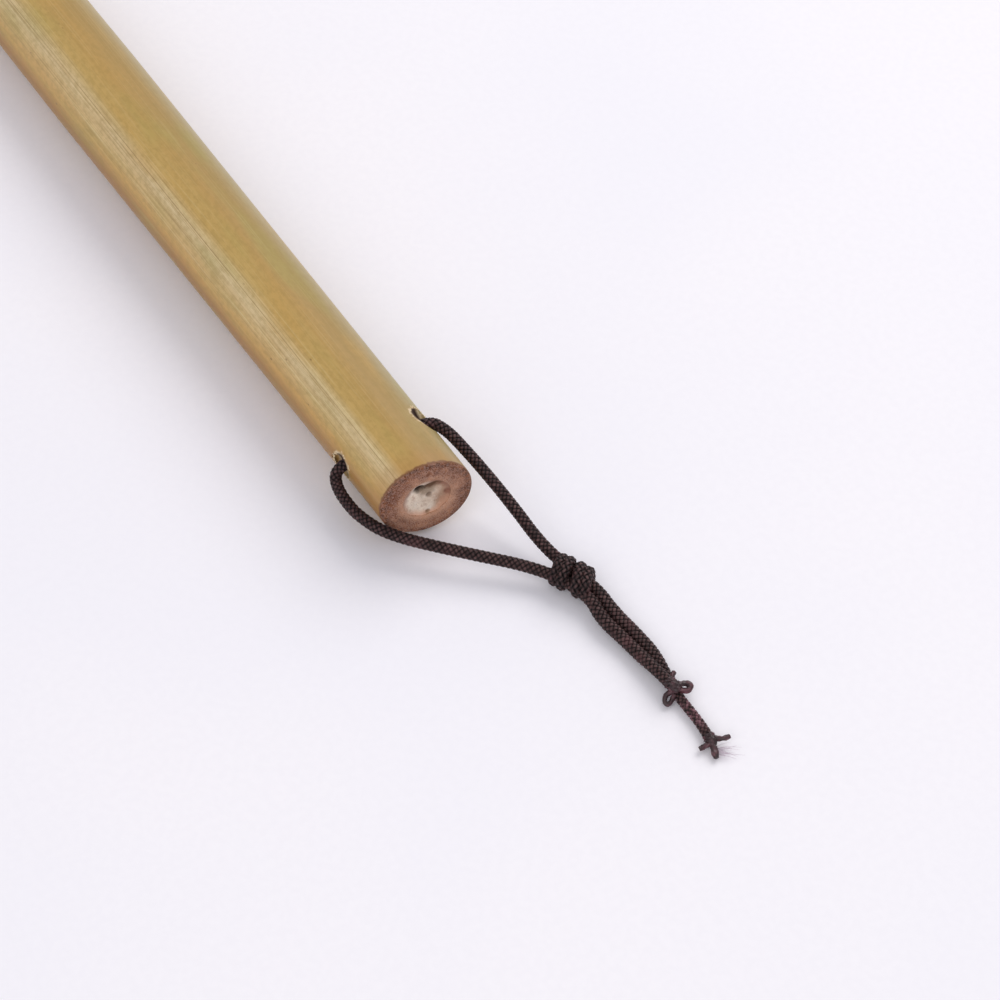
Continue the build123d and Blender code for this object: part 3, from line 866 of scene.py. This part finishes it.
def septum():
    """The pale diaphragm: a shallow rough bowl with a dark gap under the top of the bore."""
    rings, spokes = 70, 144
    r = np.linspace(0, BORE_R, rings)[:, None]
    phi = np.linspace(0, 2 * np.pi, spokes, endpoint=False)[None]
    y, z = r * np.sin(phi), r * np.cos(phi)
    depth = 0.50 - 0.40 * np.clip((r / BORE_R) ** 3, 0, 1)
    depth = depth + 0.10 * np.sin(2.1 * y + 0.7) * np.cos(1.7 * z)
    gap = np.exp(-((y - 0.95) / 0.90) ** 4 - ((z - 1.85) / 0.38) ** 2)
    hole = np.exp(-(((y + 0.70) / 0.62) ** 2 + ((z - 1.65) / 0.55) ** 2) ** 2)
    dots = sum(0.35 * np.exp(-(((y - cy) ** 2 + (z - cz) ** 2) / s ** 2))
               for cy, cz, s in ((0.60, -0.10, 0.30), (0.15, -2.85, 0.22),
                                 (2.80, -0.10, 0.25), (-1.0, -1.2, 0.10)))
    depth = depth + 0.40 * gap + 0.9 * hole + 0.7 * dots
    rng = np.random.default_rng(3)
    depth = depth + rng.normal(0, 0.018, depth.shape) * (r > 0.3)
    x = TAIL_X + SLANT * y - depth
    pts = np.stack([np.broadcast_to(x, y.shape), y, AXIS_Z + z], -1)
    back = np.stack([np.full(y[-1:].shape, TAIL_X - SEPTUM_BACK), y[-1:], AXIS_Z + z[-1:]], -1)
    b = Builder()
    b.grid(pts, np.zeros(pts.shape[:2] + (2,)))
    hub = back * (1, 0, 0) + np.array((0, 0, AXIS_Z))
    b.grid(np.concatenate([pts[-1:], back, hub]), np.zeros((3, spokes, 2)))
    return b.make("septum_face")


face = septum()
wear(face, PITH)
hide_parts("tail_septum")


def chips():
    """Pale splinters on the head side of the two mouths of the cross hole."""
    b = Builder()
    rng = np.random.default_rng(11)
    drill = unit(np.array((SLANT, 1.0, HOLE_CLIMB)))
    e1 = unit(np.cross(drill, (0, 0, 1)))
    e2 = np.cross(drill, e1)
    middle = np.array((TAIL_X - HOLE_BACK, 0.0, HOLE_RISE))

    def surface(at, sgn):
        """Where a line along the drill through a point leaves the culm on one side."""
        radius = TAIL_R + TAPER * (TAIL_X + 2 - at[0])
        aa = drill[1] ** 2 + drill[2] ** 2
        bb = at[1] * drill[1] + at[2] * drill[2]
        cc = at[1] ** 2 + at[2] ** 2 - radius ** 2
        return at + drill * (-bb + sgn * math.sqrt(bb * bb - aa * cc)) / aa

    for sgn in (1, -1):
        for _ in range(40):
            ang = math.pi + rng.normal(0, 1.0)
            rad = rng.uniform(1.80, 2.16)
            size = rng.uniform(0.05, 0.13)
            long = rng.uniform(1.0, 2.2)
            base = []
            for a in np.linspace(0, 2 * np.pi, 7, endpoint=False):
                at = (middle + e1 * (rad * math.cos(ang) + size * long * math.cos(a))
                      + e2 * (rad * math.sin(ang) + size * 0.6 * math.sin(a)))
                base.append(surface(at, sgn))
            base = np.array(base)
            mid = base.mean(0)
            normal = unit(mid * (0, 1, 1))
            base = base - normal * 0.04
            top = mid + (base - mid) * 0.45 + normal * rng.uniform(0.03, 0.12)
            rows = np.stack([base, top, np.broadcast_to(top.mean(0), (7, 3))]) + (0, 0, AXIS_Z)
            b.grid(rows, np.zeros((3, 7, 2)), tone=float(rng.uniform()))
    return b.make("hole_splinters")


def splinter_material():
    """Raw pale wood."""
    m = Material("raw_splinters", Roughness=0.8)
    tone = m.attribute("tone")
    x, y, z = m.place()
    n = m.noise(m.vector(m.math("MULTIPLY", x, 0.4), y, z), 3000.0, 2.0)
    m.set("Base Color", m.mix(m.math("MULTIPLY", n, tone), lin(230, 212, 176), lin(178, 142, 96)))
    m.bump(n, 0.00005, 0.6)
    return m.mat


splinters = chips()
wear(splinters, splinter_material())


# ---- tuft --------------------------------------------------------------------------------
# distance in front of the socket mouth, and the tuft's radius there
PROFILE = [(-4, 4.85), (0, 4.95), (5, 5.35), (14, 6.05), (24, 5.75), (32, 4.90), (38, 3.95),
           (42, 3.15), (46, 2.20), (50, 1.20), (53, 0.52), (54.9, 0.10)]


def hair_radius(d):
    """Outside radius of the whole tuft at distance d in front of the socket mouth."""
    px, pr = zip(*PROFILE)
    x = np.linspace(px[0], px[-1], 600)
    r = np.interp(x, px, pr)
    reach = 20                                   # samples that the profile is smoothed over, each way
    kernel = np.hanning(2 * reach + 1)
    kernel /= kernel.sum()
    pad = np.pad(r, reach, mode="edge")
    return np.interp(d, x, np.convolve(pad, kernel, mode="valid"))


def lock(name, d0, d1, sink, seed, ends=0.6):
    """One combed layer, from d0 to d1 in front of the socket mouth, with ridges of gathered hair."""
    rng = np.random.default_rng(seed)
    rows, cols = 150, 220
    d = np.linspace(d0, d1, rows)
    th = np.linspace(0, 2 * np.pi, cols, endpoint=False)
    ridges = np.zeros(cols)
    for k in (9, 17, 31, 53, 88):
        ridges += rng.uniform(0.4, 1.0) * np.cos(k * th + rng.uniform(0, 6.28)) / k ** 0.35
    ridges /= np.abs(ridges).max()
    swirl = 0.04 * np.sin(d / 9)[:, None]
    th_all, ridges_all = np.r_[th, 2 * np.pi], np.r_[ridges, ridges[0]]
    shift = np.stack([np.interp((th + s) % (2 * np.pi), th_all, ridges_all) for s in swirl[:, 0]])
    r = hair_radius(d)[:, None] - sink + 0.07 * shift * np.clip(d / 12, 0.1, 1)[:, None]
    r = np.maximum(r, 0.03)
    fade = np.clip((d1 - d) / ends, 0, 1)[:, None] ** 0.5
    r = r * fade
    pts = np.stack([np.broadcast_to(HEAD_X - d[:, None], r.shape), r * np.sin(th),
                    AXIS_Z + r * np.cos(th)], -1)
    b = Builder()
    b.grid(pts, np.zeros(pts.shape[:2] + (2,)))
    return b.make(name)


def strands(name, count, starts, ends, radius, seed, lift=0.02):
    """Separate hairs that lie along the tuft and end at different places."""
    rng = np.random.default_rng(seed)
    b = Builder()
    seg = 15
    phi = np.linspace(0, 2 * np.pi, 3, endpoint=False)
    for _ in range(count):
        th = rng.uniform(0, 2 * np.pi)
        a, e = rng.uniform(*starts), rng.uniform(*ends)
        d = np.linspace(a, e, seg)
        u = np.linspace(0, 1, seg)
        th_line = (th + rng.normal(0, 0.03) * u
                   + 0.05 * np.sin(d / 8 + rng.uniform(0, 6)) * rng.uniform(0, 0.5))
        r = hair_radius(d) + lift - 0.05 * rng.uniform(0, 1) + 0.03 * np.sin(u * 5 + rng.uniform(0, 6))
        if rng.uniform() < 0.04:         # a stray hair lifts off
            r = r + 0.35 * u ** 2 * rng.uniform(0.2, 1)
        r = np.maximum(r - 0.10 * np.clip((u - 0.85) / 0.15, 0, 1), 0.03)
        line = np.stack([HEAD_X - d, r * np.sin(th_line), AXIS_Z + r * np.cos(th_line)], -1)
        t, p, q = frames(line)
        w = radius * rng.uniform(0.7, 1.3) * np.interp(u, [0, 0.6, 1], [1, 0.85, 0.12])
        ring = (line[:, None] + p[:, None] * (np.cos(phi)[None] * w[:, None])[..., None]
                + q[:, None] * (np.sin(phi)[None] * w[:, None])[..., None])
        b.grid(ring, np.zeros((seg, 3, 2)), tone=float(rng.uniform()))
    return b.make(name)


WHITE = hair_material("white_hair", lin(236, 226, 204), lin(240, 228, 200), lin(186, 168, 134),
                      HEAD_X, HEAD_X - 40)
CREAM = hair_material("cream_hair", lin(222, 200, 160), lin(190, 146, 96), lin(150, 112, 70),
                      HEAD_X - 36, HEAD_X - 48)
BROWN = hair_material("brown_hair", lin(160, 108, 62), lin(92, 52, 28), lin(58, 32, 18),
                      HEAD_X - 42, HEAD_X - 54)

cover = lock("tuft_cover_hair", -3.0, 39.5, 0.06, 31, ends=3.0)
belly = lock("tuft_belly_hair", 30.0, 47.5, 0.14, 32, ends=2.5)
core = lock("tuft_core_hair", 40.0, 54.95, 0.06, 33, ends=0.4)
cover_strands = strands("tuft_cover_strands", 2350, (-2.0, 14.0), (31.0, 42.5), 0.055, 41)
belly_strands = strands("tuft_belly_strands", 900, (30.0, 37.0), (43.0, 50.0), 0.050, 42, lift=0.0)
core_strands = strands("tuft_core_strands", 700, (39.0, 46.0), (50.0, 54.9), 0.040, 43, lift=0.0)
for obj, mat, slot_name in ((cover, WHITE, "white_hair"), (cover_strands, WHITE, "white_hair"),
                            (belly, CREAM, "cream_hair"), (belly_strands, CREAM, "cream_hair"),
                            (core, BROWN, "brown_hair"), (core_strands, BROWN, "brown_hair")):
    wear(obj, mat)
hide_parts("tuft_cover")
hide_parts("tuft_belly")
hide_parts("tuft_core")

paint("root_thread", thread_material())
paint("root_seal", resin_material("rosin", lin(96, 48, 18), lin(150, 84, 30), 0.25))
paint("socket_glue", resin_material("socket_glue", lin(128, 86, 40), lin(176, 130, 70), 0.22))


# ---- table and light ---------------------------------------------------------------------
def stage():
    """A pale table, a large key light behind the cane, a fill beside the camera and a dim sky."""
    bpy.ops.mesh.primitive_plane_add(size=6, location=(0, 0, -0.0001))
    floor = bpy.context.object
    floor.name = "floor"
    floor.data.materials.append(floor_material())

    def area(name, location, aim, size, power, colour):
        data = bpy.data.lights.new(name, "AREA")
        data.shape, data.size, data.energy, data.color = "DISK", size, power, colour
        light = bpy.data.objects.new(name, data)
        light.location = location
        light.rotation_euler = (Vector(aim) - Vector(location)).to_track_quat("-Z", "Y").to_euler()
        link(light)

    middle = (0.12, 0.0, 0.0)
    area("key", (-0.12, 0.62, 0.70), middle, 0.75, 4.3, (1.0, 0.98, 0.965))
    area("fill", (0.60, -0.60, 0.75), middle, 0.9, 2.7, (1.0, 0.985, 0.98))
    world = bpy.data.worlds.new("soft_daylight")
    world.use_nodes = True
    bg = world.node_tree.nodes["Background"]
    bg.inputs[0].default_value = (0.96, 0.95, 1.0, 1)
    bg.inputs[1].default_value = 0.60
    bpy.context.scene.world = world
    bpy.context.scene.view_settings.view_transform = "Standard"


stage()
